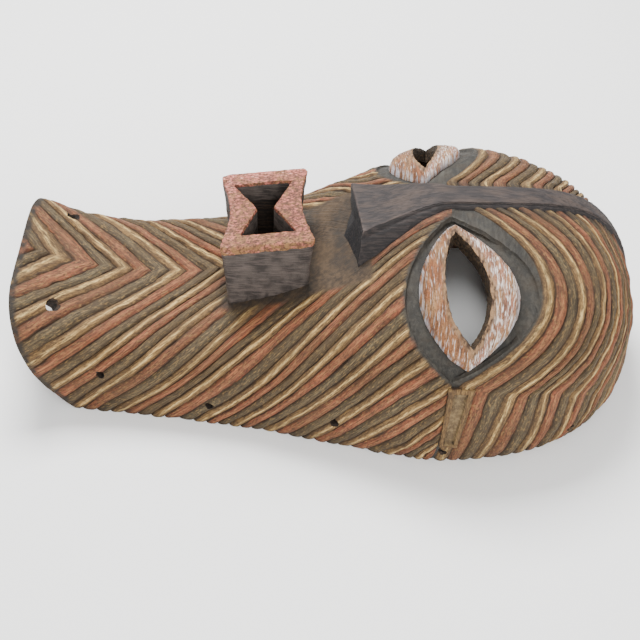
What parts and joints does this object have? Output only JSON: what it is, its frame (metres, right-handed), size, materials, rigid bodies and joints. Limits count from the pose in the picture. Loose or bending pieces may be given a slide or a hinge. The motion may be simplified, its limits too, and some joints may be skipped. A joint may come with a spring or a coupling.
{
  "type": "kifwebe mask",
  "caption": "Carved and painted wooden kifwebe mask with striped face, slit eyes, ridged nose and crest and a standing open mouth; hollow behind, worn over the face or hung.",
  "frame": {"origin": "under the middle of the mask's length and width, on the plane of its back rim", "axes": "+X from the chin to the crown, +Y to the mask's far side, +Z out of the face, away from the wearer"},
  "size_m": [0.576, 0.3248, 0.1855],
  "materials": {
    "painted_wood": "matt earth paints over carved striations, worn"
  },
  "bodies": {
    "root": {"mask": "painted_wood"}
  },
  "joints": []
}
